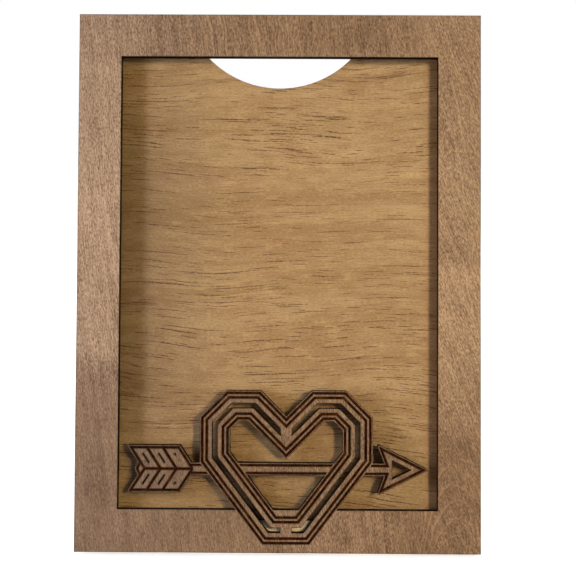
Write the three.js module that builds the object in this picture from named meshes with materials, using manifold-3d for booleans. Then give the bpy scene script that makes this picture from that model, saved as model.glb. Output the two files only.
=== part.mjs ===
// A desk photo frame for a 5 in by 7 in print: three glued layers of thin sheet, a heart and arrow
// cut and engraved in the front one, and a folding easel leg behind.
// Millimetres, +Z up, the face towards -Y. The origin is on the ground, in the middle of the part.
// The frame is drawn upright, its back at y = 0 and its bottom edge at z = 0, and then leant back.

import * as THREE from "three";
import { mergeVertices } from "three/addons/utils/BufferGeometryUtils.js";
import Module from "manifold-3d";

const wasm = await Module();
wasm.setup();

// Print, pocket and rails
const PRINT_WIDTH = 127;
const PRINT_HEIGHT = 177.8;
const PRINT_CLEARANCE = 1;
const WINDOW_LAP = 3.5;
const RAIL_WIDTH = 16.2;
const NOTCH_RADIUS = 38.1;
const NOTCH_DEPTH = 26.7;

// Sheets, and the gap that glue or a push fit takes
const FACE_SHEET = 3.175;
const SPACER_SHEET = 3.175;
const BACK_SHEET = 3.175;
const HINGE_SHEET = 3.175;
const LEG_SHEET = 6.35;
const FIT = 0.25;

// Heart
const HEART_WIDTH = 65.1;
const HEART_HEIGHT = 58;
const HEART_SHIFT = 3.2;
const HEART_FOOT_HEIGHT = 2.8;
const HEART_FOOT_WIDTH = 18;
const HEART_DIP = 9.6;
const HEART_CHAMFER = 10;
const HEART_BRIDGE = 4.4;

// Bands across the heart's stroke, and the engraving
const RIM = 0.5;
const LINE = 1;
const LINE_GAP = 0.7;
const BAND = 1.65;
const SLOT = 1.8;
const ENGRAVING_DEPTH = 0.5;

// Arrow: shaft, three pairs of vanes at the tail, and the head
const ARROW_HEIGHT = 31.3;
const ARROW_LENGTH = 113.6;
const ARROW_LINE = 0.9;
const SHAFT_WIDTH = 4.9;
const NOCK_NOSE = 1.2;
const VANE_PAIRS = 3;
const VANES_LENGTH = 20.2;
const VANES_SPAN = 17.8;
const VANE_SLOPE = 0.65;
const VANE_ROUNDING = 0.4;
const SLIT_WIDTH = 0.6;
const SLIT_HEIGHT = 3.95;
const SLIT_LENGTH = 4.3;
const SLIT_DEPTH = 2.2;
const DOT_HEIGHT = 5.4;
const DOT_LENGTH = 1;
const HEAD_LENGTH = 19.8;
const HEAD_BACK = 2.8;
const HEAD_SPAN = 19.8;
const TIP_ROUNDING = 0.7;
const BARB_ROUNDING = 0.6;
const HEAD_HOLE_LENGTH = 6.9;
const HEAD_HOLE_SPAN = 6.9;
const HEAD_HOLE_TO_TIP = 6.9;

// Easel
const LEAN = THREE.MathUtils.degToRad(11);
const LEG_OPENING = THREE.MathUtils.degToRad(22);
const HINGE_HEIGHT = 120;
const LEG_STANDOFF = 2.8;
const LEG_NECK_WIDTH = 24;
const LEG_NECK_LENGTH = 16;
const LEG_FOOT_WIDTH = 38;
const LEG_ROUNDING = 2.5;
const EAR_BASE = 20;
const EAR_WALL = 3.4;
const PLATE_MARGIN = 6;
const PLATE_ROUNDING = 3;
const PIN_RADIUS = 1.6;
const PIN_PROUD = 1.2;

// Sizes that follow from those
const WINDOW_WIDTH = PRINT_WIDTH - 2 * WINDOW_LAP;
const WINDOW_HEIGHT = PRINT_HEIGHT - 2 * WINDOW_LAP;
const FRAME_WIDTH = WINDOW_WIDTH + 2 * RAIL_WIDTH;
const FRAME_HEIGHT = WINDOW_HEIGHT + 2 * RAIL_WIDTH;
const SPACER_WIDTH = RAIL_WIDTH - WINDOW_LAP - PRINT_CLEARANCE;
const SPACER_REAR = -BACK_SHEET - FIT;
const FACE_REAR = SPACER_REAR - SPACER_SHEET - FIT;
const FACE_FRONT = FACE_REAR - FACE_SHEET;
const SLOT_START = RIM + 2 * LINE + LINE_GAP + BAND;
const STROKE = 2 * SLOT_START + SLOT;
const PLATE_REAR = FIT + HINGE_SHEET;
const PIN_DEPTH = PLATE_REAR + LEG_STANDOFF + LEG_SHEET / 2;
const EAR_INSIDE = LEG_NECK_WIDTH / 2 + FIT;
const EAR_OUTSIDE = EAR_INSIDE + HINGE_SHEET;
const EAR_RADIUS = PIN_RADIUS + EAR_WALL;
const TENON = EAR_BASE / 2;

const point = (x, y) => new THREE.Vector2(x, y);

// A closed geometry as a manifold solid.
function solidOf(geometry) {
  const bare = new THREE.BufferGeometry();
  bare.setAttribute("position", geometry.getAttribute("position"));
  bare.setIndex(geometry.getIndex());
  const merged = mergeVertices(bare, 1e-4);
  const vertProperties = merged.getAttribute("position").array;
  const triVerts = new Uint32Array(merged.getIndex().array);
  return new wasm.Manifold(new wasm.Mesh({ numProp: 3, vertProperties, triVerts }));
}

// A manifold solid as a named mesh.
function meshOf(name, solid, material) {
  const { vertProperties, triVerts } = solid.getMesh();
  const indexed = new THREE.BufferGeometry();
  indexed.setAttribute("position", new THREE.BufferAttribute(vertProperties, 3));
  indexed.setIndex(new THREE.BufferAttribute(triVerts, 1));
  const geometry = indexed.toNonIndexed();
  geometry.computeVertexNormals();
  const mesh = new THREE.Mesh(geometry, material.clone());
  mesh.name = name;
  return mesh;
}

function extrusion(outline, holes, depth) {
  const shape = new THREE.Shape(outline);
  shape.holes = holes.map((hole) => new THREE.Path(hole));
  return new THREE.ExtrudeGeometry(shape, { depth, bevelEnabled: false });
}

// A sheet seen from the front: its outline is x and z, and its rear face is at y = rear.
function frontSheet(outline, holes, thickness, rear) {
  const geometry = extrusion(outline, holes, thickness).rotateX(Math.PI / 2);
  return solidOf(geometry.translate(0, rear, 0));
}

// A sheet seen from the side: its outline is y and z, and it runs from x = left to the right.
function sideSheet(outline, holes, thickness, left) {
  const turn = new THREE.Matrix4().makeBasis(
    new THREE.Vector3(0, 1, 0),
    new THREE.Vector3(0, 0, 1),
    new THREE.Vector3(1, 0, 0),
  );
  const geometry = extrusion(outline, holes, thickness).applyMatrix4(turn);
  return solidOf(geometry.translate(left, 0, 0));
}

function rod(radius, length, y, z) {
  const geometry = new THREE.CylinderGeometry(radius, radius, length, 32).rotateZ(Math.PI / 2);
  return solidOf(geometry.translate(0, y, z));
}

function rectangle(left, bottom, right, top) {
  return [point(left, bottom), point(right, bottom), point(right, top), point(left, top)];
}

function arc(x, y, radius, from, to, steps) {
  const curve = new THREE.ArcCurve(x, y, radius, from, to, to < from);
  return curve.getPoints(steps);
}

// Where two lines cross, each given by a point and a direction.
function crossing(a, b) {
  const reach = b.from.clone().sub(a.from).cross(b.along) / a.along.cross(b.along);
  return a.from.clone().addScaledVector(a.along, reach);
}

// An outline drawn inside another at an even distance. An edge that shrinks to nothing is dropped.
function inset(outline, distance) {
  let edges = outline.map((start, i) => {
    const along = outline[(i + 1) % outline.length].clone().sub(start).normalize();
    const inward = point(-along.y, along.x);
    return { from: start.clone().addScaledVector(inward, distance), along };
  });
  for (;;) {
    const corners = edges.map((edge, i) => crossing(edges.at(i - 1), edge));
    const kept = edges.filter((edge, i) => {
      const next = corners[(i + 1) % corners.length];
      return next.clone().sub(corners[i]).dot(edge.along) > 0;
    });
    if (kept.length === edges.length) {
      return corners;
    }
    edges = kept;
  }
}

// An outline with its corners rounded, each to its own radius. A corner of radius zero stays sharp.
function rounded(outline, radii) {
  return outline.flatMap((corner, i) => {
    const radius = radii[i];
    if (radius === 0) {
      return [corner];
    }
    const next = outline[(i + 1) % outline.length];
    const back = outline.at(i - 1).clone().sub(corner).normalize();
    const ahead = next.clone().sub(corner).normalize();
    const half = Math.acos(back.dot(ahead)) / 2;
    const middle = back.clone().add(ahead).normalize();
    const centre = corner.clone().addScaledVector(middle, radius / Math.sin(half));
    const turn = Math.PI - 2 * half;
    const start = middle.negate().angle() - turn / 2;
    return arc(centre.x, centre.y, radius, start, start + turn, 6);
  });
}

// Cutters for the front sheet: right through it, or down to a depth.
const cutThrough = (outline, holes) =>
  frontSheet(outline, holes, FACE_SHEET + 2, FACE_REAR + 1);
const engrave = (outline, holes, depth = ENGRAVING_DEPTH) =>
  frontSheet(outline, holes, depth + 1, FACE_FRONT + depth);
const faceSheet = (outline, holes) => frontSheet(outline, holes, FACE_SHEET, FACE_REAR);

// A straight strip of a given width between two points.
function strip(from, to, width) {
  const across = to.clone().sub(from).normalize().multiplyScalar(width / 2);
  const side = point(-across.y, across.x);
  return [
    from.clone().sub(side),
    to.clone().sub(side),
    to.clone().add(side),
    from.clone().add(side),
  ];
}

function heartOutline() {
  const half = HEART_WIDTH / 2;
  const top = HEART_FOOT_HEIGHT + HEART_HEIGHT;
  const right = [
    point(HEART_FOOT_WIDTH / 2, HEART_FOOT_HEIGHT),
    point(half, ARROW_HEIGHT + SHAFT_WIDTH / 2),
    point(half, top - HEART_CHAMFER),
    point(half - HEART_CHAMFER, top),
    point(HEART_DIP, top),
  ];
  const left = right.map((p) => point(-p.x, p.y)).reverse();
  const outline = [...right, point(0, top - HEART_DIP), ...left];
  return outline.map((p) => p.add(point(HEART_SHIFT, 0)));
}

// The arrow's outline, counter-clockwise from its point.
function arrowOutline() {
  const tip = ARROW_LENGTH / 2;
  const shaft = SHAFT_WIDTH / 2;
  const barb = tip - HEAD_LENGTH;
  const slant = VANE_SLOPE * (VANES_SPAN / 2 - shaft);
  const upper = [
    point(barb, HEAD_SPAN / 2),
    point(barb + HEAD_BACK, shaft),
    point(VANES_LENGTH + slant - tip, shaft),
    point(VANES_LENGTH - tip, VANES_SPAN / 2),
    point(-tip, VANES_SPAN / 2),
    point(slant - tip, shaft),
  ];
  const nock = point(slant - NOCK_NOSE - tip, 0);
  const lower = upper.map((p) => point(p.x, -p.y)).reverse();
  const outline = [point(tip, 0), ...upper, nock, ...lower];
  const side = [BARB_ROUNDING, 0, 0, VANE_ROUNDING, VANE_ROUNDING, 0];
  const radii = [TIP_ROUNDING, ...side, 0, ...side.toReversed()];
  return rounded(outline, radii).map((p) => p.add(point(0, ARROW_HEIGHT)));
}

// A point on the vanes: a share of the way along them, at a height above or below their middle.
function onVanes(share, height) {
  const border = (RIM + ARROW_LINE / 2) * Math.hypot(1, VANE_SLOPE);
  const start = border - ARROW_LENGTH / 2;
  const slant = VANE_SLOPE * (VANES_SPAN / 2 - Math.abs(height));
  const x = start + (VANES_LENGTH - 2 * border) * share + slant;
  return point(x, ARROW_HEIGHT + height);
}

// A mark on a vane, along its slant, at a height above or below the middle.
function vaneMark(share, side, height, length) {
  const rise = length / 2 / Math.hypot(1, VANE_SLOPE);
  const outer = onVanes(share, side * (height + rise));
  const inner = onVanes(share, side * (height - rise));
  return strip(outer, inner, SLIT_WIDTH);
}

// Engraved lines round each vane and along the middle, and a dot on each of the foremost vanes.
function vaneLines() {
  const lines = [strip(onVanes(0, 0), onVanes(1, 0), ARROW_LINE)];
  for (const side of [1, -1]) {
    for (let i = 0; i <= VANE_PAIRS; i += 1) {
      const share = i / VANE_PAIRS;
      const edge = onVanes(share, side * (VANES_SPAN / 2 - RIM));
      lines.push(strip(edge, onVanes(share, 0), ARROW_LINE));
    }
    lines.push(vaneMark(1 - 0.5 / VANE_PAIRS, side, DOT_HEIGHT, DOT_LENGTH));
  }
  return lines.map((line) => engrave(line, []));
}

// A deep slit in each of the other vanes.
function vaneSlits() {
  const slits = [];
  for (const side of [1, -1]) {
    for (let i = 0; i < VANE_PAIRS - 1; i += 1) {
      const slit = vaneMark((i + 0.5) / VANE_PAIRS, side, SLIT_HEIGHT, SLIT_LENGTH);
      slits.push(engrave(slit, [], SLIT_DEPTH));
    }
  }
  return slits;
}

function headHole() {
  const right = ARROW_LENGTH / 2 - HEAD_HOLE_TO_TIP;
  const left = right - HEAD_HOLE_LENGTH;
  const half = HEAD_HOLE_SPAN / 2;
  const outline = [
    point(left, ARROW_HEIGHT - half),
    point(right, ARROW_HEIGHT),
    point(left, ARROW_HEIGHT + half),
  ];
  return cutThrough(outline, []);
}

function frontFrame() {
  const half = WINDOW_WIDTH / 2;
  const edge = rectangle(-FRAME_WIDTH / 2, 0, FRAME_WIDTH / 2, FRAME_HEIGHT);
  const window = rectangle(-half, RAIL_WIDTH, half, RAIL_WIDTH + WINDOW_HEIGHT);
  const heart = heartOutline();
  const arrow = arrowOutline();
  const heartRing = faceSheet(heart, [inset(heart, STROKE)]);
  const solid = faceSheet(edge, [window]).add(heartRing).add(faceSheet(arrow, []));

  const arrowLines = [
    engrave(inset(arrow, RIM), [inset(arrow, RIM + ARROW_LINE)]),
    ...vaneLines(),
  ];
  const heartBlock = cutThrough(heart, [inset(heart, STROKE)]);
  const arrowEngraving = wasm.Manifold.union(arrowLines).subtract(heartBlock);

  const slotRing = cutThrough(inset(heart, SLOT_START), [inset(heart, SLOT_START + SLOT)]);
  const bridge = rectangle(
    HEART_SHIFT - HEART_BRIDGE / 2,
    0,
    HEART_SHIFT + HEART_BRIDGE / 2,
    FRAME_HEIGHT,
  );
  const slots = slotRing.subtract(frontSheet(bridge, [], FACE_SHEET + 4, FACE_REAR + 2));

  const outerLines = [RIM, RIM + LINE + LINE_GAP];
  const innerLines = outerLines.map((start) => STROKE - LINE - start);
  const heartLines = [...outerLines, ...innerLines].map((start) =>
    engrave(inset(heart, start), [inset(heart, start + LINE)]),
  );
  const cuts = [arrowEngraving, slots, headHole(), ...heartLines, ...vaneSlits()];
  return solid.subtract(wasm.Manifold.union(cuts));
}

function spacer(left, bottom, right, top) {
  return frontSheet(rectangle(left, bottom, right, top), [], SPACER_SHEET, SPACER_REAR);
}

function backPanel() {
  const half = FRAME_WIDTH / 2;
  const centre = FRAME_HEIGHT - NOTCH_DEPTH + NOTCH_RADIUS;
  const reach = Math.asin((centre - FRAME_HEIGHT) / NOTCH_RADIUS);
  const notch = arc(0, centre, NOTCH_RADIUS, -reach, reach - Math.PI, 40);
  const outline = [
    point(-half, 0),
    point(half, 0),
    point(half, FRAME_HEIGHT),
    ...notch,
    point(-half, FRAME_HEIGHT),
  ];
  return frontSheet(outline, [], BACK_SHEET, 0);
}

function hingePlate() {
  const half = EAR_OUTSIDE + PLATE_MARGIN;
  const reach = EAR_BASE / 2 + PLATE_MARGIN;
  const radius = PLATE_ROUNDING;
  const right = Math.PI / 2;
  const centres = [
    [half - radius, HINGE_HEIGHT - reach + radius, -right],
    [half - radius, HINGE_HEIGHT + reach - radius, 0],
    [radius - half, HINGE_HEIGHT + reach - radius, right],
    [radius - half, HINGE_HEIGHT - reach + radius, 2 * right],
  ];
  const outline = centres.flatMap(([x, z, from]) => arc(x, z, radius, from, from + right, 8));
  const low = HINGE_HEIGHT - TENON / 2 - FIT;
  const high = HINGE_HEIGHT + TENON / 2 + FIT;
  const mortises = [
    rectangle(EAR_INSIDE - FIT, low, EAR_OUTSIDE + FIT, high),
    rectangle(-EAR_OUTSIDE - FIT, low, -EAR_INSIDE + FIT, high),
  ].map((mortise) => frontSheet(mortise, [], HINGE_SHEET + 2, PLATE_REAR + 1));
  return frontSheet(outline, [], HINGE_SHEET, PLATE_REAR).subtract(wasm.Manifold.union(mortises));
}

function hingeEar(left) {
  const base = PLATE_REAR + FIT;
  const outline = [
    point(base, HINGE_HEIGHT - EAR_BASE / 2),
    ...arc(PIN_DEPTH, HINGE_HEIGHT, EAR_RADIUS, -Math.PI / 2, Math.PI / 2, 20),
    point(base, HINGE_HEIGHT + EAR_BASE / 2),
    point(base, HINGE_HEIGHT + TENON / 2),
    point(FIT, HINGE_HEIGHT + TENON / 2),
    point(FIT, HINGE_HEIGHT - TENON / 2),
    point(base, HINGE_HEIGHT - TENON / 2),
  ];
  const bore = rod(PIN_RADIUS + FIT, 4 * EAR_OUTSIDE, PIN_DEPTH, HINGE_HEIGHT);
  return sideSheet(outline, [], HINGE_SHEET, left).subtract(bore);
}

// The leg hangs from the pin, which is its origin. Its foot is cut level with the ground when open,
// and its heel meets the hinge plate there and stops it.
function easelLeg() {
  const half = LEG_SHEET / 2;
  const tilt = LEG_OPENING - LEAN;
  const pinHeight = HINGE_HEIGHT * Math.cos(LEAN) - PIN_DEPTH * Math.sin(LEAN);
  const footAt = (y) => -(pinHeight + y * Math.sin(tilt)) / Math.cos(tilt);
  const reach = PIN_DEPTH - PLATE_REAR - FIT - half * Math.cos(LEG_OPENING);
  const heel = reach / Math.sin(LEG_OPENING);
  const round = LEG_ROUNDING;
  const side = [
    point(-half, footAt(-half)),
    point(half, footAt(half)),
    ...arc(half - round, heel - round, round, 0, Math.PI / 2, 8),
    point(-half, heel),
  ];
  const neck = LEG_NECK_WIDTH / 2;
  const foot = LEG_FOOT_WIDTH / 2;
  const bottom = footAt(half) - 1;
  const front = [
    point(-foot, bottom),
    point(foot, bottom),
    point(neck, -LEG_NECK_LENGTH),
    point(neck, heel + 1),
    point(-neck, heel + 1),
    point(-neck, -LEG_NECK_LENGTH),
  ];
  const width = LEG_FOOT_WIDTH + LEG_NECK_WIDTH;
  return frontSheet(front, [], LEG_SHEET + 2, half + 1)
    .intersect(sideSheet(side, [], width, -width / 2))
    .subtract(rod(PIN_RADIUS + FIT, width, 0, 0));
}

const wood = (color, roughness) =>
  new THREE.MeshStandardMaterial({ color, roughness, metalness: 0 });
const stained = wood(0xa07c5c, 0.6);
const raw = wood(0xd8c39a, 0.75);
const golden = wood(0xb58d58, 0.65);
const dowel = wood(0xc9a877, 0.55);

const halfFrame = FRAME_WIDTH / 2;
const pocket = halfFrame - SPACER_WIDTH;
const pinLength = 2 * (EAR_OUTSIDE + PIN_PROUD);

const layers = new THREE.Group();
layers.name = "layers";
layers.add(meshOf("front_frame", frontFrame(), stained));
layers.add(meshOf("left_spacer", spacer(-halfFrame, 0, -pocket, FRAME_HEIGHT), raw));
layers.add(meshOf("right_spacer", spacer(pocket, 0, halfFrame, FRAME_HEIGHT), raw));
layers.add(meshOf("bottom_spacer", spacer(FIT - pocket, 0, pocket - FIT, SPACER_WIDTH), raw));
layers.add(meshOf("back_panel", backPanel(), golden));

const hinge = new THREE.Group();
hinge.name = "hinge";
hinge.add(meshOf("hinge_plate", hingePlate(), raw));
hinge.add(meshOf("left_hinge_ear", hingeEar(-EAR_OUTSIDE), raw));
hinge.add(meshOf("right_hinge_ear", hingeEar(EAR_INSIDE), raw));
hinge.add(meshOf("hinge_pin", rod(PIN_RADIUS, pinLength, PIN_DEPTH, HINGE_HEIGHT), dowel));

const leg = new THREE.Group();
leg.name = "leg";
leg.position.set(0, PIN_DEPTH, HINGE_HEIGHT);
leg.rotation.x = LEG_OPENING;
leg.add(meshOf("easel_leg", easelLeg(), stained));

const leaning = new THREE.Group();
leaning.name = "leaning_frame";
leaning.rotation.x = -LEAN;
leaning.add(layers, hinge, leg);

// Set on the ground, with the origin in the middle.
const photoFrame = new THREE.Group();
photoFrame.name = "photo_frame";
photoFrame.add(leaning);
const room = new THREE.Box3().setFromObject(photoFrame, true);
leaning.position.set(0, -(room.min.y + room.max.y) / 2, -room.min.z);

export default photoFrame;
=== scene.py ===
# A desk photo frame of stained birch ply: an engraved face board, raw spacers, a golden back board
# with a thumb notch, and a prop leg on a dowel. Metres, +Z up, the face towards -Y.

import math

import bpy
from mathutils import Matrix, Quaternion, Vector


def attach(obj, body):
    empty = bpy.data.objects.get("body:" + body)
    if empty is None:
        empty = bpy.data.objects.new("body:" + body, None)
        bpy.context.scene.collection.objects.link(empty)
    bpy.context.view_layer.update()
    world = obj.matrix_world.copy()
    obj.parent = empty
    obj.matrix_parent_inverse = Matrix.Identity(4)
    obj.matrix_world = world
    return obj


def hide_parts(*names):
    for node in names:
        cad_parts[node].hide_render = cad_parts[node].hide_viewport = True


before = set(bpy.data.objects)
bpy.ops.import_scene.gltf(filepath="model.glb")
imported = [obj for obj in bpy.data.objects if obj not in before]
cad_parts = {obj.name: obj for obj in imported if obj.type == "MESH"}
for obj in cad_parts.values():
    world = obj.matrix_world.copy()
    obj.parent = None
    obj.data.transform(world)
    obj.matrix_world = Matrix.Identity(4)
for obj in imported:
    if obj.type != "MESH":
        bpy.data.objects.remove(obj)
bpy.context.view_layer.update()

MM = 0.001

# Camera, taken from the photograph's own edges
EYE = Vector((6.1, -409.3, 163.5)) * MM
LOOK = Vector((-0.00636, 0.98703, -0.16038))
ROLL = math.radians(0.24)
LENS = 66.25
SENSOR_WIDTH = 36
CLIP_START = 10 * MM

# Edges: how near corners merge, how far sharp edges are eased, and what counts as sharp or flat
MERGE_GAP = 0.004 * MM
ARRIS = 0.16 * MM
PLATE_ARRIS = 0.25 * MM
DOWEL_ARRIS = 0.45 * MM
SHARP = math.radians(30)
FLAT = math.radians(0.5)
SQUARE_ON = 0.9

# Glue films: short of a board's edges, slack in their gap, with round corners
GLUE_MARGIN = 0.35 * MM
GLUE_SLACK = 0.02 * MM
STRIP_CORNER = 1.0 * MM
PLATE_CORNER = 4.5 * MM
THICKEST_FILM = 1.0 * MM

# Engraving: the depth of a line, more than the deepest slit, and how far scorch spreads from a cut
GROOVE = 0.5 * MM
BLIND = 2.6 * MM
SCORCH_REACH = 0.75 * MM

# Plies in a sheet
SHEET_PLIES = 3
LEG_PLIES = 5


def srgb(red, green, blue):
    """A colour as it looks on screen, 0 to 255, as the linear colour that a shader takes."""
    def linear(level):
        level /= 255
        return level / 12.92 if level <= 0.04045 else ((level + 0.055) / 1.055) ** 2.4
    return (linear(red), linear(green), linear(blue), 1.0)


# Boards and how they stand


def tilt_of(node):
    """The turn about X that stands a leaning board upright, from its largest flat."""
    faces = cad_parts[node].data.polygons
    normal = max(faces, key=lambda face: face.area).normal
    toward_front = -1 if normal.y > 0 else 1
    return math.atan2(toward_front * normal.z, -toward_front * normal.y)


def upright_box(node, tilt):
    """The lowest and highest corners of a board once it is stood upright about the origin."""
    stand = Matrix.Rotation(tilt, 3, "X")
    corners = [stand @ v.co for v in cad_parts[node].data.vertices]
    low = Vector(min(c[i] for c in corners) for i in range(3))
    high = Vector(max(c[i] for c in corners) for i in range(3))
    return low, high


LEAN = tilt_of("back_panel")
LEG_LEAN = tilt_of("easel_leg")

FACE_LOW, FACE_HIGH = upright_box("front_frame", LEAN)
BACK_LOW, BACK_HIGH = upright_box("back_panel", LEAN)
PLATE_LOW, PLATE_HIGH = upright_box("hinge_plate", LEAN)
LEG_LOW, LEG_HIGH = upright_box("easel_leg", LEG_LEAN)
STRIP_LOW = upright_box("left_spacer", LEAN)[0]

SHEET_PLY = (FACE_HIGH.y - FACE_LOW.y) / MM / SHEET_PLIES
LEG_PLY = (LEG_HIGH.y - LEG_LOW.y) / MM / LEG_PLIES

# Turns that bring a board's own axes to X, Y and Z: grain upright, grain across, a board that
# stands sideways, and the leg
UPRIGHT = (LEAN, 0, 0)
ACROSS = (LEAN, math.pi / 2, 0)
SIDEWAYS = (LEAN, 0, math.pi / 2)
LEG_WAY = (LEG_LEAN, 0, 0)


# Shader nodes

# Sockets of a Mix node: its share and two values, its share and two colours, its colour output
VALUE_MIX = (0, 2, 3)
COLOUR_MIX = (0, 6, 7)
COLOUR_OUT = 2


class Nodes:
    """Adds nodes to one tree. An input is a plain value or the output that feeds it."""

    def __init__(self, tree):
        self.tree = tree

    def feed(self, socket, value):
        """Sets a socket to a plain value, or links an output to it."""
        if isinstance(value, bpy.types.NodeSocket):
            self.tree.links.new(value, socket)
        else:
            socket.default_value = value

    def add(self, kind, inputs=(), **settings):
        """A new node with its settings, its inputs given by name or by number."""
        node = self.tree.nodes.new("ShaderNode" + kind)
        for name, value in settings.items():
            setattr(node, name, value)
        for name, value in dict(inputs).items():
            self.feed(node.inputs[name], value)
        return node

    def math(self, operation, first, second=0.0, clamp=False):
        """One step of arithmetic on two values."""
        inputs = enumerate((first, second))
        return self.add("Math", inputs, operation=operation, use_clamp=clamp).outputs[0]

    def stretch(self, vector, x, y, z):
        """A vector scaled along each axis."""
        inputs = enumerate((vector, (x, y, z)))
        return self.add("VectorMath", inputs, operation="MULTIPLY").outputs[0]

    def shift(self, vector, by):
        """A vector moved by another."""
        return self.add("VectorMath", enumerate((vector, by)), operation="ADD").outputs[0]

    def split(self, vector):
        """A vector's three values."""
        return self.add("SeparateXYZ", {0: vector}).outputs

    def join(self, x, y, z):
        """A vector made from three values."""
        return self.add("CombineXYZ", enumerate((x, y, z))).outputs[0]

    def noise(self, vector, detail=2.0, roughness=0.5, distortion=0.0):
        """A soft random value that swings about one half."""
        inputs = {
            "Vector": vector,
            "Scale": 1.0,
            "Detail": detail,
            "Roughness": roughness,
            "Distortion": distortion,
        }
        return self.add("TexNoise", inputs).outputs["Fac"]

    def ramp(self, value, low, high, start=0.0, end=1.0):
        """A smooth step from start to end while the value goes from low to high."""
        inputs = enumerate((value, low, high, start, end))
        return self.add("MapRange", inputs, interpolation_type="SMOOTHSTEP").outputs[0]

    def between(self, share, first, second):
        """A value some share of the way from one to another."""
        return self.add("Mix", zip(VALUE_MIX, (share, first, second))).outputs[0]

    def mix(self, share, first, second, blend="MIX"):
        """A share of the second colour over the first."""
        inputs = zip(COLOUR_MIX, (share, first, second))
        mixed = self.add("Mix", inputs, data_type="RGBA", blend_type=blend)
        return mixed.outputs[COLOUR_OUT]

    def shade(self, share, colour, filtered):
        """A colour as it looks through a filter, as far as the share goes."""
        return self.mix(share, colour, filtered, "MULTIPLY")

    def lean(self, vector, degrees):
        """The board's axes turned in its own plane, so that the grain leans."""
        inputs = {"Vector": vector, "Axis": (0, 1, 0), "Angle": math.radians(degrees)}
        return self.add("VectorRotate", inputs).outputs[0]

    def bump(self, height, strength, distance):
        """A normal that follows a height."""
        inputs = {"Height": height, "Strength": strength, "Distance": distance}
        return self.add("Bump", inputs).outputs["Normal"]

    def blend_of(self, shares, start):
        """Adds each value's swing about one half, times its share, to a start."""
        total = start
        for value, share in shares:
            swing = self.math("MULTIPLY", self.math("SUBTRACT", value, 0.5), share)
            total = self.math("ADD", total, swing)
        return total


def new_group(name, inputs, outputs):
    """An empty node group: its nodes, its inputs by name, and the node that its outputs go to."""
    tree = bpy.data.node_groups.new(name, "ShaderNodeTree")
    for direction, sockets in (("INPUT", inputs), ("OUTPUT", outputs)):
        for label, kind in sockets.items():
            socket_type = "NodeSocket" + kind
            tree.interface.new_socket(label, in_out=direction, socket_type=socket_type)
    nodes = Nodes(tree)
    start = tree.nodes.new("NodeGroupInput")
    end = tree.nodes.new("NodeGroupOutput")
    return nodes, start.outputs, end.inputs


def place(nodes, name, inputs):
    """One use of a node group, with its own values."""
    node = nodes.tree.nodes.new("ShaderNodeGroup")
    node.node_tree = bpy.data.node_groups[name]
    for label, value in inputs.items():
        nodes.feed(node.inputs[label], value)
    return node.outputs


def new_material(name, turn, start=Vector()):
    """A material with its Principled shader, and the board's own axes in millimetres:
    X across the grain, Y through the sheet from its front, Z along the grain."""
    made = bpy.data.materials.new(name)
    made.use_nodes = True
    nodes = Nodes(made.node_tree)
    shader = made.node_tree.nodes["Principled BSDF"]
    spot = nodes.add("TexCoord").outputs["Object"]
    inputs = {"Vector": spot, "Scale": (1 / MM,) * 3, "Rotation": turn}
    stood = nodes.add("Mapping", inputs).outputs[0]
    axes = nodes.shift(stood, tuple(-start / MM))
    return made, nodes, shader, axes


def surface(nodes, shader, colour, roughness, normal):
    """Gives a Principled shader its colour, roughness and normal."""
    nodes.feed(shader.inputs["Base Color"], colour)
    nodes.feed(shader.inputs["Roughness"], roughness)
    nodes.feed(shader.inputs["Normal"], normal)


# Shared effects. A stretch is how many swings a noise makes in a millimetre.


def birch_figure_group():
    """Rotary-cut birch: short flecks along the grain, fine fibres and soft mottling."""
    nodes, given, out = new_group(
        "Birch figure",
        {"Vector": "Vector"},
        {"Tone": "Float", "Pores": "Float", "Height": "Float"},
    )
    at = given["Vector"]
    flecks = nodes.noise(nodes.stretch(at, 2.2, 0.5, 0.75), 2.0, 0.6, 0.2)
    fibres = nodes.noise(nodes.stretch(at, 3.4, 0.5, 0.16), 2.0, 0.6)
    streaks = nodes.noise(nodes.stretch(at, 0.5, 0.1, 0.02), 2.0, 0.5)
    mottle = nodes.noise(nodes.stretch(at, 0.12, 0.05, 0.07), 3.0, 0.6)
    shares = ((flecks, 0.95), (fibres, 0.65), (streaks, 0.3), (mottle, 0.28))
    pores = nodes.noise(nodes.stretch(at, 3.0, 0.5, 0.75), 0.0)
    nodes.feed(out["Tone"], nodes.blend_of(shares, 0.5))
    nodes.feed(out["Pores"], nodes.ramp(pores, 0.62, 0.78))
    nodes.feed(out["Height"], nodes.blend_of(((flecks, 1.0), (fibres, 0.6)), 0.5))


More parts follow.
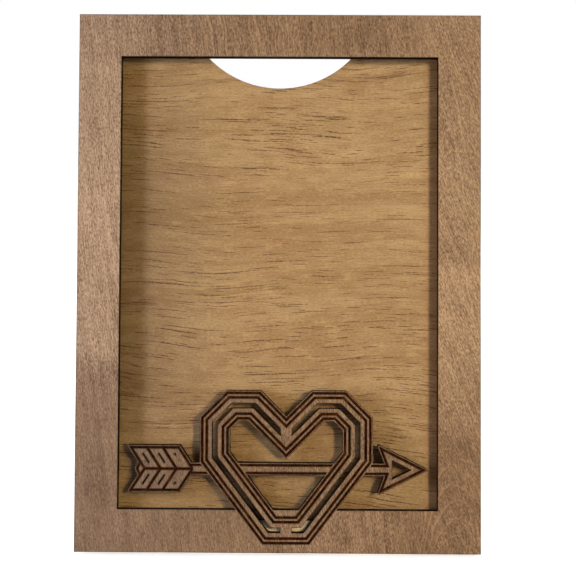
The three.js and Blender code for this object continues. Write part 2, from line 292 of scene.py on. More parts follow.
def ring_lines_group():
    """Growth rings where the cut crosses them: arches that stand on their legs, evenly spaced up an
    axis, each a pale line with a dark one under it."""
    nodes, given, out = new_group(
        "Ring lines",
        {"Vector": "Vector", "Axis": "Float", "Width": "Float", "Spacing": "Float", "Cover": "Float"},
        {"Crest": "Float", "Foot": "Float"},
    )
    at = given["Vector"]
    x, _, z = nodes.split(at)
    wander = nodes.noise(nodes.stretch(at, 0.05, 0.02, 0.03), 1.0, 0.5)
    sway = nodes.noise(nodes.stretch(at, 0.15, 0.05, 0.1), 1.0, 0.5)
    jag = nodes.noise(nodes.stretch(at, 0.7, 0.1, 0.3), 2.0, 0.6)
    bent = nodes.blend_of(((wander, 14.0), (sway, 6.0), (jag, 2.4)), x)
    aside = nodes.math("SUBTRACT", bent, given["Axis"])
    lean = nodes.math("DIVIDE", aside, given["Width"])
    drop = nodes.math("MULTIPLY", aside, lean)
    height = nodes.blend_of(((jag, 5.0), (sway, 6.0)), nodes.math("ADD", z, drop))
    steep = nodes.math("MULTIPLY", nodes.math("MULTIPLY", lean, lean), 4.0)
    steep = nodes.math("SQRT", nodes.math("ADD", steep, 1.0))
    apart = nodes.math("DIVIDE", given["Spacing"], steep)
    share = nodes.math("FRACT", nodes.math("DIVIDE", height, given["Spacing"]))
    above = nodes.math("MULTIPLY", share, apart)
    below = nodes.math("SUBTRACT", apart, above)
    breaks = nodes.noise(nodes.stretch(at, 0.1, 0.05, 0.07), 1.0, 0.5)
    shown = nodes.ramp(nodes.math("ADD", breaks, given["Cover"]), 0.5, 0.62)
    shown = nodes.math("MULTIPLY", shown, nodes.ramp(apart, 0.8, 1.8))
    thick = nodes.ramp(sway, 0.3, 0.7, 0.5, 1.3)
    crest = nodes.ramp(above, 0.1, thick, 1.0, 0.0)
    foot = nodes.ramp(below, 0.1, 1.0, 1.0, 0.0)
    nodes.feed(out["Crest"], nodes.math("MULTIPLY", crest, shown))
    nodes.feed(out["Foot"], nodes.math("MULTIPLY", foot, shown))


def pore_dashes_group():
    """Long thin dashes scattered along the grain. Vector is the way along and the way across."""
    nodes, given, out = new_group(
        "Pore dashes",
        {"Vector": "Vector", "Length": "Float", "Thickness": "Float", "Bare": "Float"},
        {"Mask": "Float"},
    )
    along, across, _ = nodes.split(given["Vector"])
    wobble = nodes.noise(nodes.stretch(given["Vector"], 0.22, 0.3, 0), 1.0, 0.5)
    row = nodes.math("DIVIDE", nodes.blend_of(((wobble, 0.5),), across), given["Thickness"])
    stagger = nodes.math("MULTIPLY", row, 0.382)
    column = nodes.math("ADD", nodes.math("DIVIDE", along, given["Length"]), stagger)
    cell = nodes.join(column, row, 0.0)
    cells = nodes.add("TexVoronoi", {"Vector": cell, "Scale": 1.0}, voronoi_dimensions="2D")
    draw = nodes.add("SeparateColor", {0: cells.outputs["Color"]}).outputs[0]
    size = nodes.ramp(draw, given["Bare"], 1.0, 0.0, 0.34)
    core = nodes.math("MULTIPLY", size, 0.7)
    rim = nodes.math("ADD", size, 0.001)
    nodes.feed(out["Mask"], nodes.ramp(cells.outputs["Distance"], core, rim, 1.0, 0.0))


def scorched_rim_group():
    """The scorch that a laser leaves on a face beside its cuts, strongest at the edge."""
    nodes, _, out = new_group("Scorched rim", {}, {"Mask": "Float"})
    eased = nodes.add("Bevel", {"Radius": SCORCH_REACH}, samples=8).outputs[0]
    flat = nodes.add("NewGeometry").outputs["Normal"]
    match = nodes.add("VectorMath", {0: eased, 1: flat}, operation="DOT_PRODUCT").outputs["Value"]
    nodes.feed(out["Mask"], nodes.ramp(match, 0.9, 1.0, 1.0, 0.0))


def scorched_cut_group():
    """A laser-cut edge: the plies in bands through the sheet, under char that runs in fine streaks."""
    given_colours = {"Char": "Color", "Face Ply": "Color", "Core": "Color"}
    nodes, given, out = new_group(
        "Scorched cut",
        {"Vector": "Vector", "Ply": "Float", "Burn": "Float"} | given_colours,
        {"Color": "Color", "Height": "Float"},
    )
    at = given["Vector"]
    through = nodes.split(at)[1]
    pair = nodes.math("MULTIPLY", given["Ply"], 2.0)
    band = nodes.math("FRACT", nodes.math("DIVIDE", through, pair))
    plies = nodes.mix(nodes.ramp(band, 0.47, 0.53), given["Face Ply"], given["Core"])
    seam = nodes.math("ABSOLUTE", nodes.math("SUBTRACT", band, 0.5))
    seam = nodes.ramp(seam, 0.0, 0.06, 0.7, 0.0)
    streaks = nodes.noise(nodes.stretch(at, 3.2, 0.35, 3.2), 2.0, 0.6)
    clouds = nodes.noise(nodes.stretch(at, 0.25, 0.2, 0.25), 3.0, 0.6)
    streaked = nodes.ramp(streaks, 0.38, 0.66, given["Burn"], 0.85)
    char = nodes.math("ADD", streaked, seam)
    char = nodes.math("ADD", char, nodes.ramp(clouds, 0.35, 0.65, -0.2, 0.3), clamp=True)
    nodes.feed(out["Color"], nodes.mix(char, plies, given["Char"]))
    nodes.feed(out["Height"], streaks)


birch_figure_group()
ring_lines_group()
pore_dashes_group()
scorched_rim_group()
scorched_cut_group()


# Zones of a board, in millimetres from its lowest corner


def zone(nodes, at, across, along, soft=8.0):
    """One inside a stretch of the board, given across and along it, and nothing outside."""
    inside = 1.0
    spots = nodes.split(at)
    for spot, (low, high) in ((spots[0], across), (spots[2], along)):
        inside = nodes.math("MULTIPLY", inside, nodes.ramp(spot, low - soft, low + soft))
        inside = nodes.math("MULTIPLY", inside, nodes.ramp(spot, high - soft, high + soft, 1.0, 0.0))
    return inside


def strongest(nodes, at, zones, soft=8.0):
    """The strongest of several zones at each spot: a strength, and the zone across and along."""
    most = 0.0
    for strength, across, along in zones:
        patch = nodes.math("MULTIPLY", zone(nodes, at, across, along, soft), strength)
        most = nodes.math("MAXIMUM", most, patch)
    return most


# Stained birch

# The zones of the face board and of the leg, each with a strength, where the grain curls, the figure is
# calm, pale strands show, the wood is darker, along its bottom, top and right side most, smoke has
# browned it, and the cuts have scorched it.
# Its growth rings have an axis, a width, a spacing and a cover before their zone.
FACE_ZONES = {
    "curly": ((1.0, (130, 180), (-20, 230)),),
    "calm": ((0.3, (-20, 70), (-20, 62)),),
    "rings": (
        (141, 6.0, 6.5, 0.3, (112, 170), (-20, 48)),
        (141, 6.0, 8.0, 0.2, (130, 170), (48, 190)),
        (30, 14.0, 12.0, 0.3, (34, 110), (184, 230)),
    ),
    "strands": (
        (1.0, (30, 120), (190, 230)),
        (0.5, (120, 180), (60, 230)),
    ),
    "darkened": (
        (0.76, (-20, 180), (-20, 72)),
        (1.0, (112, 180), (-20, 48)),
        (0.88, (-20, 20), (12, 46)),
        (0.68, (24, 180), (180, 230)),
        (0.8, (46, 84), (184, 230)),
        (0.94, (80, 130), (184, 230)),
        (0.7, (128, 180), (184, 230)),
        (0.2, (-20, 24), (70, 108)),
        (0.3, (-20, 24), (184, 230)),
        (0.14, (-20, 24), (150, 184)),
        (0.77, (130, 180), (105, 190)),
        (0.55, (130, 180), (40, 105)),
    ),
    "smoked": (
        (0.7, (17.5, 134.9), (17.2, 70)),
        (0.3, (134.9, 180), (16, 48)),
        (0.15, (48, 130), (188, 230)),
    ),
    "scorched": (
        (0.3, (-20, 180), (-20, 230)),
        (0.5, (17.5, 134.9), (17.2, 62)),
        (0.5, (58.4, 100.6), (-5, 17.2)),
        (0.95, (17.5, 46), (17.2, 45)),
        (0.95, (112.5, 134.9), (17.2, 45)),
        (0.95, (64, 95), (27, 35.6)),
    ),
}
LEG_ZONES = {
    "curly": (),
    "calm": ((0.3, (-20, 70), (-20, 62)),),
    "rings": ((14, 5.0, 12.0, 0.1, (-20, 60), (-20, 100)),),
    "strands": (),
    "darkened": ((0.6, (-20, 60), (-20, 20)),),
    "smoked": (),
    "scorched": ((0.3, (-20, 60), (-20, 140)),),
}

# How far the grain leans on a stained board, where it curls, and in its strands, in degrees
GRAIN_LEAN = 8
CURL_LEAN = 22
STRAND_LEAN = 9

# Its strands: their size and how bare the board is, then how far aside, how strong and what colour
STRANDS = {"Length": 50.0, "Thickness": 1.6, "Bare": 0.6}
STRAND_SIDES = ((0.0, 0.62, srgb(194, 158, 120)), (-0.7, 0.5, srgb(92, 62, 40)))

SMOKED_FILTER = (0.78, 0.72, 0.62, 1)
SCORCHED_FILTER = (0.26, 0.23, 0.21, 1)


def ring_figure(nodes, at, colour, rings):
    """Draws sets of growth rings over a colour, each in its own zone of the board."""
    for axis, width, spacing, cover, across, along in rings:
        shown = nodes.math("ADD", zone(nodes, at, across, along), cover - 1.0)
        inputs = {"Vector": at, "Axis": axis, "Width": width, "Spacing": spacing, "Cover": shown}
        lines = place(nodes, "Ring lines", inputs)
        colour = nodes.mix(nodes.math("MULTIPLY", lines["Foot"], 0.36), colour, srgb(100, 69, 45))
        colour = nodes.mix(nodes.math("MULTIPLY", lines["Crest"], 0.34), colour, srgb(194, 155, 114))
    return colour


def pale_strands(nodes, at, colour, zones):
    """Draws long pale strands over a colour, each with a dark side, in zones of the board."""
    x, _, z = nodes.split(nodes.lean(at, STRAND_LEAN))
    wander = nodes.noise(nodes.stretch(at, 0.06, 0.02, 0.09), 1.0, 0.5)
    jag = nodes.noise(nodes.stretch(at, 0.5, 0.1, 0.4), 2.0, 0.6)
    aside = nodes.blend_of(((wander, 3.5), (jag, 1.2)), x)
    breaks = nodes.noise(nodes.stretch(at, 1.6, 0.3, 0.6), 2.0, 0.6)
    shown = nodes.math("MULTIPLY", strongest(nodes, at, zones), nodes.ramp(breaks, 0.3, 0.6))
    for offset, strength, tint in STRAND_SIDES:
        spots = nodes.join(z, nodes.math("ADD", aside, offset), 0.0)
        mask = place(nodes, "Pore dashes", {"Vector": spots} | STRANDS)["Mask"]
        mask = nodes.math("MULTIPLY", nodes.math("MULTIPLY", mask, shown), strength)
        colour = nodes.mix(mask, colour, tint)
    return colour


def stained_birch(name, turn, start, zones):
    """Brown stain on birch ply, darker in some zones, browned by smoke and scorched by its cuts."""
    made, nodes, shader, at = new_material(name, turn, start)
    figure = place(nodes, "Birch figure", {"Vector": nodes.lean(at, GRAIN_LEAN)})
    curly = place(nodes, "Birch figure", {"Vector": nodes.lean(at, CURL_LEAN)})
    curled = strongest(nodes, at, zones["curly"])
    tone = nodes.between(curled, figure["Tone"], curly["Tone"])
    tone = nodes.between(strongest(nodes, at, zones["calm"]), nodes.ramp(tone, 0.2, 0.8), 0.5)
    colour = nodes.mix(tone, srgb(119, 82, 42), srgb(210, 177, 145))
    colour = nodes.mix(nodes.math("MULTIPLY", figure["Pores"], 0.5), colour, srgb(100, 70, 47))
    # The wood made darker in its zones, along the bottom, top and right of the face most.
    darkening = nodes.mix(tone, (0.38, 0.325, 0.26, 1), (0.62, 0.55, 0.49, 1))
    colour = nodes.shade(strongest(nodes, at, zones["darkened"]), colour, darkening)
    colour = ring_figure(nodes, at, colour, zones["rings"])
    colour = pale_strands(nodes, at, colour, zones["strands"])
    colour = nodes.shade(strongest(nodes, at, zones["smoked"], 2.0), colour, SMOKED_FILTER)
    scorched = strongest(nodes, at, zones["scorched"], 1.0)
    scorched = nodes.math("MULTIPLY", place(nodes, "Scorched rim", {})["Mask"], scorched)
    colour = nodes.shade(scorched, colour, SCORCHED_FILTER)
    roughness = nodes.ramp(figure["Tone"], 0.1, 0.9, 0.62, 0.48)
    surface(nodes, shader, colour, roughness, nodes.bump(figure["Height"], 0.25, 0.05 * MM))
    return made


# Engraving and cut edges


def engraved_line():
    """Wood burnt away by the laser, in fine passes along the engraving."""
    made, nodes, shader, at = new_material("engraved_line", UPRIGHT)
    passes = nodes.noise(nodes.stretch(at, 0.6, 0.3, 4.0), 1.0, 0.5)
    soot = nodes.noise(nodes.stretch(at, 0.9, 0.4, 0.7), 3.0, 0.6)
    faint = nodes.noise(nodes.stretch(at, 0.2, 0.1, 0.2), 2.0, 0.5)
    colour = nodes.mix(nodes.ramp(soot, 0.35, 0.68), srgb(36, 11, 1), srgb(64, 29, 6))
    colour = nodes.mix(nodes.ramp(faint, 0.56, 0.72, 0.0, 0.5), colour, srgb(98, 56, 28))
    colour = nodes.mix(nodes.ramp(passes, 0.55, 0.75, 0.0, 0.4), colour, srgb(26, 6, 0))
    surface(nodes, shader, colour, 0.85, nodes.bump(passes, 0.4, 0.08 * MM))
    shader.inputs["Specular IOR Level"].default_value = 0.03
    return made


def scorched_edge(name, turn, start, ply, burn, colours):
    """A laser-cut edge. Its colours are the char, the face plies and the core plies."""
    made, nodes, shader, at = new_material(name, turn, start)
    inputs = {"Vector": at, "Ply": ply, "Burn": burn}
    inputs |= zip(("Char", "Face Ply", "Core"), colours)
    cut = place(nodes, "Scorched cut", inputs)
    surface(nodes, shader, cut["Color"], 0.8, nodes.bump(cut["Height"], 0.35, 0.08 * MM))
    shader.inputs["Specular IOR Level"].default_value = 0.06
    return made


def charred_edge(name, turn, start, ply):
    """The edge of a narrow cut in stained ply, nearly black."""
    colours = (srgb(16, 6, 2), srgb(50, 25, 10), srgb(32, 14, 5))
    return scorched_edge(name, turn, start, ply, 0.6, colours)


def dark_edge(name, turn, start, ply):
    """The outer edge of a board, with its plies showing."""
    colours = (srgb(26, 12, 5), srgb(104, 68, 40), srgb(66, 38, 20))
    return scorched_edge(name, turn, start, ply, 0.15, colours)


def raw_edge(name, turn, start):
    """The edge of unfinished ply, lightly scorched."""
    colours = (srgb(58, 31, 14), srgb(140, 98, 58), srgb(104, 66, 34))
    return scorched_edge(name, turn, start, SHEET_PLY, 0.1, colours)


# Golden veneer

# Zones of the veneer, across and along it: its left, darkened by painted shade, and the band where
# pores are few
VENEER_LEFT_SHADE = ((-60, 36), (46, 165))
VENEER_CALM = ((-20, 180), (112, 148))

# Its pores: length, thickness, and where their pattern starts
VENEER_PORES = ((42.0, 0.6, 0), (22.0, 0.56, 31), (10.0, 0.52, 67))


def veneer_colour(nodes, flow, fibres, grit):
    """Bands, patches, streaks, clouds, fibres and grit of gold and brown, one over another."""
    clouds = nodes.noise(nodes.stretch(flow, 0.12, 0.34, 1), 3.0, 0.65)
    streaks = nodes.noise(nodes.stretch(flow, 0.012, 0.45, 1), 2.0, 0.5)
    bands = nodes.noise(nodes.stretch(flow, 0.008, 0.09, 1), 2.0, 0.5)
    patches = nodes.noise(nodes.stretch(flow, 0.035, 0.06, 1), 2.0, 0.5)
    colour = nodes.mix(nodes.ramp(bands, 0.35, 0.65), srgb(156, 122, 78), srgb(180, 147, 103))
    for share, layer in (
        (nodes.ramp(patches, 0.5, 0.7, 0.0, 0.7), srgb(157, 117, 79)),
        (nodes.ramp(streaks, 0.55, 0.75, 0.0, 0.6), srgb(194, 160, 108)),
        (nodes.ramp(streaks, 0.25, 0.45, 0.5, 0.0), srgb(150, 111, 63)),
        (nodes.ramp(clouds, 0.3, 0.5, 0.48, 0.0), srgb(147, 109, 55)),
        (nodes.ramp(clouds, 0.5, 0.7, 0.0, 0.42), srgb(202, 168, 119)),
        (nodes.ramp(fibres, 0.32, 0.6, 0.5, 0.0), srgb(135, 97, 48)),
        (nodes.ramp(grit, 0.3, 0.55, 0.44, 0.0), srgb(135, 97, 48)),
        (nodes.ramp(grit, 0.5, 0.75, 0.0, 0.38), srgb(204, 170, 122)),
    ):
        colour = nodes.mix(share, colour, layer)
    return colour


def veneer_painted_shades(nodes, at, colour):
    """Painted shade on the front of the veneer: darker on its left, where less light falls, a little
    darker on its right, and darkest and browner at its right end, in the shadow beside the window's
    right edge.
    """
    x, through, _ = nodes.split(at)
    front = nodes.ramp(through, 0.5, 1.5, 1.0, 0.0)
    # Painted shade: the left where less light falls, the right a little, and the strip in the shadow of
    # the window's right edge browner.
    for shown, shade in (
        (zone(nodes, at, *VENEER_LEFT_SHADE, 26.0), (0.61, 0.6, 0.57, 1)),
        (nodes.ramp(x, 70, 128), (0.94, 0.95, 0.97, 1)),
        (nodes.ramp(x, 130, 136), (1.0, 0.82, 0.7, 1)),
    ):
        colour = nodes.shade(nodes.math("MULTIPLY", shown, front), colour, shade)
    return colour


def veneer_pores(nodes, at, flow, grit):
    """Dark pores of several lengths, in clusters, few in a calm band, and broken by the grit."""
    clusters = nodes.noise(nodes.stretch(flow, 0.03, 0.09, 1), 2.0, 0.5)
    calm = zone(nodes, at, *VENEER_CALM, 12.0)
    bare = nodes.ramp(clusters, 0.33, 0.65, 0.97, nodes.ramp(calm, 0.0, 1.0, 0.45, 0.7))
    pores = 0.0
    for length, thickness, start in VENEER_PORES:
        spots = {"Vector": nodes.shift(flow, (start, start, 0)), "Bare": bare}
        spots |= {"Length": length, "Thickness": thickness}
        pores = nodes.math("MAXIMUM", pores, place(nodes, "Pore dashes", spots)["Mask"])
    return nodes.math("MULTIPLY", pores, nodes.ramp(grit, 0.46, 0.64, 1.0, 0.4))


def golden_veneer():
    """Golden veneer with its grain across, which drifts up and down as it runs."""
    made, nodes, shader, at = new_material("golden_veneer", UPRIGHT, BACK_LOW)
    x, _, z = nodes.split(at)
    drift = nodes.noise(nodes.stretch(at, 0.012, 0.02, 0.018), 1.0, 0.4)
    flow = nodes.join(x, nodes.blend_of(((drift, 17.0),), z), 0.0)
    fibres = nodes.noise(nodes.stretch(flow, 0.1, 3.4, 1), 3.0, 0.6)
    grit = nodes.noise(nodes.stretch(flow, 0.8, 2.4, 1), 2.0, 0.6)
    pores = veneer_pores(nodes, at, flow, grit)
    # The veneer's colour, with painted shade on its front.
    colour = veneer_painted_shades(nodes, at, veneer_colour(nodes, flow, fibres, grit))
    colour = nodes.mix(pores, colour, srgb(84, 40, 0))
    depth = nodes.math("SUBTRACT", fibres, nodes.math("MULTIPLY", pores, 0.6))
    roughness = nodes.ramp(fibres, 0.2, 0.8, 0.6, 0.46)
    surface(nodes, shader, colour, roughness, nodes.bump(depth, 0.3, 0.06 * MM))
    return made


# Raw wood and glue


def raw_birch(name, turn):
    """Unfinished birch ply."""
    made, nodes, shader, at = new_material(name, turn)
    figure = place(nodes, "Birch figure", {"Vector": at})
    tone = nodes.ramp(figure["Tone"], 0.0, 1.0)
    colour = nodes.mix(tone, srgb(220, 200, 162), srgb(244, 231, 202))
    colour = nodes.mix(nodes.math("MULTIPLY", figure["Pores"], 0.3), colour, srgb(160, 128, 88))
    rings = {"Vector": at, "Axis": 30.0, "Width": 9.0, "Spacing": 11.0, "Cover": 0.05}
    rings = place(nodes, "Ring lines", rings)
    colour = nodes.mix(nodes.math("MULTIPLY", rings["Foot"], 0.4), colour, srgb(170, 138, 96))
    surface(nodes, shader, colour, 0.72, nodes.bump(figure["Height"], 0.25, 0.05 * MM))
    return made


def dowel_birch():
    """A turned dowel: fine grain along it."""
    made, nodes, shader, at = new_material("dowel_birch", ACROSS)
    fibres = nodes.noise(nodes.stretch(at, 4.0, 4.0, 0.25), 2.0, 0.6)
    colour = nodes.mix(nodes.ramp(fibres, 0.3, 0.7), srgb(186, 150, 106), srgb(221, 194, 152))
    surface(nodes, shader, colour, 0.6, nodes.bump(fibres, 0.3, 0.05 * MM))
    return made


def dried_glue():
    """Wood glue, dried to a clouded amber."""
    made, nodes, shader, at = new_material("dried_glue", UPRIGHT)
    clouds = nodes.noise(nodes.stretch(at, 0.5, 0.5, 0.5), 3.0, 0.6)
    colour = nodes.mix(nodes.ramp(clouds, 0.35, 0.65), srgb(104, 70, 36), srgb(150, 112, 66))
    surface(nodes, shader, colour, 0.4, nodes.bump(clouds, 0.3, 0.1 * MM))
    return made


stained_face = stained_birch("stained_face", UPRIGHT, FACE_LOW, FACE_ZONES)
stained_leg = stained_birch("stained_leg", LEG_WAY, LEG_LOW, LEG_ZONES)
burnt_line = engraved_line()
window_edge = charred_edge("window_edge", UPRIGHT, FACE_LOW, SHEET_PLY)
face_edge = dark_edge("face_edge", UPRIGHT, FACE_LOW, SHEET_PLY)
back_edge = dark_edge("back_edge", UPRIGHT, BACK_LOW, SHEET_PLY)
leg_edge = dark_edge("leg_edge", LEG_WAY, LEG_LOW, LEG_PLY)
veneer = golden_veneer()
raw_upright = raw_birch("raw_upright", UPRIGHT)
raw_across = raw_birch("raw_across", ACROSS)
raw_sideways = raw_birch("raw_sideways", SIDEWAYS)
plate_cut = raw_edge("plate_cut", UPRIGHT, PLATE_LOW)
strip_cut = raw_edge("strip_cut", UPRIGHT, STRIP_LOW)
ear_cut = raw_edge("ear_cut", SIDEWAYS, Vector())
dowel_side = dowel_birch()
amber_glue = dried_glue()


# Working on a board. Most boards have two materials, for their flats and for their cut edges.

FLATS, CUTS = range(2)


def only(piece):
    """Selects one piece and makes it the one that operators act on."""
    bpy.ops.object.select_all(action="DESELECT")
    piece.select_set(True)
    bpy.context.view_layer.objects.active = piece


def copy_of(node, name):
    """A copy of a CAD board, its loose triangles merged into whole faces."""
    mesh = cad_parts[node].data.copy()
    mesh.name = name
    mesh.materials.clear()
    board = bpy.data.objects.new(name, mesh)
    bpy.context.scene.collection.objects.link(board)
    only(board)
    bpy.ops.object.mode_set(mode="EDIT")
    bpy.ops.mesh.customdata_custom_splitnormals_clear()
    bpy.ops.mesh.select_all(action="SELECT")
    bpy.ops.mesh.remove_doubles(threshold=MERGE_GAP)
    bpy.ops.mesh.dissolve_limited(angle_limit=FLAT)
    bpy.ops.mesh.quads_convert_to_tris(quad_method="BEAUTY", ngon_method="BEAUTY")
    bpy.ops.object.mode_set(mode="OBJECT")
    return board


def paint(board, materials, choose):
    """Gives each face of a board the material that choose names for it, by its number."""
    for material in materials:
        board.data.materials.append(material)
    for face in board.data.polygons:
        face.material_index = choose(face)


def select_between(board, pairs):
    """Selects the edges where faces of two materials meet, for each pair of materials."""
    bpy.ops.object.mode_set(mode="OBJECT")
    beside = {}
    for face in board.data.polygons:
        for key in face.edge_keys:
            beside.setdefault(key, set()).add(face.material_index)
    for edge in board.data.edges:
        edge.select = beside[edge.key] in pairs
    bpy.ops.object.mode_set(mode="EDIT")


def ease(board, width, segments, material=-1, between=None):
    """Takes the sharpness off a board's sharp edges, or off those between pairs of its materials."""
    only(board)
    bpy.ops.object.mode_set(mode="EDIT")
    bpy.ops.mesh.select_mode(type="EDGE")
    bpy.ops.mesh.select_all(action="DESELECT")
    if between is None:
        bpy.ops.mesh.edges_select_sharp(sharpness=SHARP)
    else:
        select_between(board, between)
    bpy.ops.mesh.bevel(offset=width, segments=segments, affect="EDGES", material=material)
    bpy.ops.object.mode_set(mode="OBJECT")
    bpy.ops.object.shade_smooth_by_angle(angle=SHARP)


def facing(face, tilt):
    """A face's normal once its board is stood upright."""
    return Matrix.Rotation(tilt, 3, "X") @ face.normal


def flat_or_cut(tilt, axis=1):
    """Tells a board's two flats, square to an axis, from its cut edges."""
    return lambda face: FLATS if abs(facing(face, tilt)[axis]) > SQUARE_ON else CUTS


def settle(piece, node, body):
    """Hands a finished piece to the frame: hides the part it stands for, and ties it to the body it
    moves with.
    """
    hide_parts(node)
    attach(piece, body)


# Pieces


def face_board():
    """The engraved board. Its cuts go right through, and its engraving is a shallow groove."""
    board = copy_of("front_frame", "face_board")
    stand = Matrix.Rotation(LEAN, 3, "X")
    flat, engraved, cut, outer = range(4)

    def choose(face):
        corners = [stand @ board.data.vertices[i].co for i in face.vertices]
        deepest = max(corner.y for corner in corners) - FACE_LOW.y
        if abs(facing(face, LEAN).y) > SQUARE_ON:
            return engraved if GROOVE / 2 < deepest < BLIND else flat
        if deepest < BLIND:
            return engraved
        outside = (stand @ face.center - FACE_LOW, FACE_HIGH - stand @ face.center)
        return outer if min(min(gap.x, gap.z) for gap in outside) < ARRIS else cut

    paint(board, [stained_face, burnt_line, window_edge, face_edge], choose)
    ease(board, ARRIS, 1, material=cut, between=({flat, cut}, {flat, outer}))
    settle(board, "front_frame", "frame")


def back_board():
    """The golden board, with the thumb notch in its top edge."""
    board = copy_of("back_panel", "back_board")
    paint(board, [veneer, back_edge], flat_or_cut(LEAN))
    ease(board, ARRIS, 1, material=CUTS)
    settle(board, "back_panel", "frame")


def spacer_strip(node, name, face):
    """One strip of raw ply between the face board and the back board."""
    strip = copy_of(node, name)
    paint(strip, [face, strip_cut], flat_or_cut(LEAN))
    ease(strip, ARRIS, 1, material=CUTS)
    settle(strip, node, "frame")


def hinge_plate():
    """The plate that carries the hinge on the back board."""
    plate = copy_of("hinge_plate", "hinge_plate_board")
    paint(plate, [raw_upright, plate_cut], flat_or_cut(LEAN))
    ease(plate, PLATE_ARRIS, 2)
    settle(plate, "hinge_plate", "frame")


def glue_film(name, box, low_y, high_y, corner):
    """A film of glue in the gap in front of a board or behind it, short of the board's edges."""
    low = Vector((box[0].x + GLUE_MARGIN, low_y + GLUE_SLACK, box[0].z + GLUE_MARGIN))
    high = Vector((box[1].x - GLUE_MARGIN, high_y - GLUE_SLACK, box[1].z - GLUE_MARGIN))
    middle = Matrix.Rotation(-LEAN, 3, "X") @ ((low + high) / 2)
    bpy.ops.object.select_all(action="DESELECT")
    bpy.ops.mesh.primitive_cube_add(size=1, location=middle, rotation=(-LEAN, 0, 0))
    film = bpy.context.object
    film.name = film.data.name = name
    film.scale = high - low
    bpy.ops.object.transform_apply(location=True, rotation=True, scale=True)
    for edge in film.data.edges:
        first, second = (film.data.vertices[i].co for i in edge.vertices)
        edge.select = (first - second).length < THICKEST_FILM
    for part in (film.data.polygons, film.data.vertices):
        part.foreach_set("select", [False] * len(part))
    bpy.ops.object.mode_set(mode="EDIT")
    bpy.ops.mesh.select_mode(type="EDGE")
    bpy.ops.mesh.bevel(offset=corner, segments=8, affect="EDGES")
    bpy.ops.object.mode_set(mode="OBJECT")
    film.data.materials.append(amber_glue)
    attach(film, "frame")


def glue_films():
    """The glue that joins the layers at their sides, and the hinge plate to the back board."""
    for side in ("left", "right"):
        strip = upright_box(side + "_spacer", LEAN)
        glue_film(side + "_front_glue", strip, FACE_HIGH.y, strip[0].y, STRIP_CORNER)
        glue_film(side + "_rear_glue", strip, strip[1].y, BACK_LOW.y, STRIP_CORNER)
    glue_film("plate_glue", (PLATE_LOW, PLATE_HIGH), BACK_HIGH.y, PLATE_LOW.y, PLATE_CORNER)


def hinge_ear(node, name):
    """One of the two ears that hold the dowel."""
    ear = copy_of(node, name)
    paint(ear, [raw_sideways, ear_cut], flat_or_cut(LEAN, 0))
    ease(ear, ARRIS, 2)
    settle(ear, node, "frame")


def dowel():
    """The dowel that the leg turns on."""
    pin = copy_of("hinge_pin", "dowel_pin")
    paint(pin, [dowel_side], lambda face: 0)
    ease(pin, DOWEL_ARRIS, 3)
    settle(pin, "hinge_pin", "frame")


def prop_leg():
    """The leg that folds out behind the frame."""
    leg = copy_of("easel_leg", "prop_leg")
    paint(leg, [stained_leg, leg_edge], flat_or_cut(LEG_LEAN))
    ease(leg, ARRIS, 2, material=CUTS)
    settle(leg, "easel_leg", "leg")


face_board()
back_board()
spacer_strip("left_spacer", "left_strip", raw_upright)
spacer_strip("right_spacer", "right_strip", raw_upright)
spacer_strip("bottom_spacer", "bottom_strip", raw_across)
hinge_plate()
glue_films()
hinge_ear("left_hinge_ear", "left_ear")
hinge_ear("right_hinge_ear", "right_ear")
dowel()
prop_leg()


# Studio

FACE_UP = Vector((0, math.sin(LEAN), math.cos(LEAN)))
FACE_OUT = Vector((0, -math.cos(LEAN), math.sin(LEAN)))
FACE_CENTRE = Matrix.Rotation(-LEAN, 3, "X") @ ((FACE_LOW + FACE_HIGH) / 2)

# Lamp colours, and how much light the white room gives
WARM = (1.0, 0.825, 0.515)
COOL = (0.7, 0.785, 1.0)
REAR_WARM = (1.0, 0.96, 0.9)
REAR_COOL = (0.92, 0.96, 1.0)
ROOM_LIGHT = 0.045

# The floor, in metres: its size, and how white it looks near the frame and away from it
FLOOR_SIZE = 6
NEAR, FAR = 0.2, 0.7
NEAR_WHITE, FAR_WHITE = 0.7, 1.0


def from_face(right, out, up):
    """A place given from the middle of the face, in metres: to the right, out from it and up it."""
    return FACE_CENTRE + Vector((right, 0, 0)) + out * FACE_OUT + up * FACE_UP


def lamp(name, spot, aim, size, power, colour, spread=180):
    """A soft panel light, its spot and its aim given from the middle of the face."""
    stand = from_face(*spot)
    bpy.ops.object.light_add(type="AREA", location=stand)
    light = bpy.context.object
    light.name = name
    light.rotation_euler = (from_face(*aim) - stand).to_track_quat("-Z", "Y").to_euler()
    light.data.shape = "RECTANGLE"
    light.data.size, light.data.size_y = size
    light.data.energy = power
    light.data.color = colour
    light.data.spread = math.radians(spread)


def studio_lights():
    """A warm key in front, a cool panel low on the left, and two panels behind."""
    middle = (0, 0, 0)
    lamp("key_panel", (0.42, 0.887, 0.16), (0.08, 0, 0.01), (0.2, 0.3), 0.312, WARM, 32)
    lamp("left_panel", (-0.445, 0.283, 0.04), middle, (0.11, 0.36), 2.3, COOL)
    lamp("rear_right_panel", (0.6, -0.7, 0.5), middle, (0.5, 0.5), 7.0, REAR_WARM)
    lamp("rear_left_panel", (-0.7, -0.6, 0.3), middle, (0.5, 0.5), 4.0, REAR_COOL)


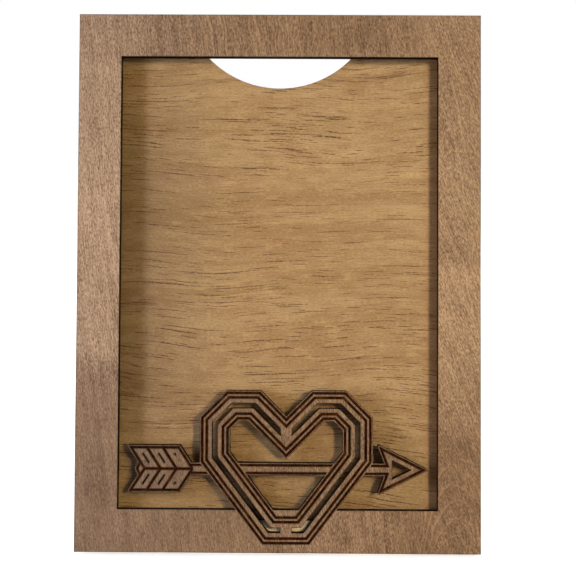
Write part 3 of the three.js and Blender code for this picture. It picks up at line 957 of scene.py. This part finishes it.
def white_world():
    """A room that looks white and gives little light."""
    world = bpy.data.worlds.new("white_room")
    bpy.context.scene.world = world
    world.use_nodes = True
    nodes = Nodes(world.node_tree)
    background = world.node_tree.nodes["Background"]
    background.inputs["Color"].default_value = (1, 1, 1, 1)
    path = nodes.add("LightPath")
    seen = nodes.math("MAXIMUM", path.outputs["Is Camera Ray"], path.outputs["Is Transmission Ray"])
    nodes.feed(background.inputs["Strength"], nodes.ramp(seen, 0.0, 1.0, ROOM_LIGHT, 1.0))


def white_floor():
    """White paper under the frame that fades into the white room."""
    bpy.ops.object.select_all(action="DESELECT")
    bpy.ops.mesh.primitive_plane_add(size=FLOOR_SIZE)
    floor = bpy.context.object
    floor.name = "floor"
    made = bpy.data.materials.new("white_floor")
    made.use_nodes = True
    tree = made.node_tree
    nodes = Nodes(tree)
    tree.nodes.remove(tree.nodes["Principled BSDF"])
    paper = nodes.add("BsdfDiffuse", {"Color": (0.9, 0.9, 0.9, 1)}).outputs[0]
    seen = nodes.add("LightPath").outputs["Is Camera Ray"]
    spot = nodes.add("TexCoord").outputs["Object"]
    away = nodes.add("VectorMath", {0: spot}, operation="LENGTH").outputs["Value"]
    white = nodes.ramp(away, NEAR, FAR, NEAR_WHITE, FAR_WHITE)
    glow = nodes.add("Emission", {"Strength": nodes.math("MULTIPLY", seen, white)}).outputs[0]
    both = nodes.add("AddShader", {0: paper, 1: glow}).outputs[0]
    nodes.feed(tree.nodes["Material Output"].inputs["Surface"], both)
    floor.data.materials.append(made)


def camera():
    """The photograph's camera."""
    bpy.ops.object.camera_add(location=EYE)
    eye = bpy.context.object
    turn = LOOK.to_track_quat("-Z", "Y") @ Quaternion((0, 0, 1), ROLL)
    eye.rotation_euler = turn.to_euler()
    eye.data.sensor_width = SENSOR_WIDTH
    eye.data.lens = LENS
    eye.data.clip_start = CLIP_START
    bpy.context.scene.camera = eye


studio_lights()
white_world()
white_floor()
camera()
bpy.context.scene.view_settings.view_transform = "Standard"
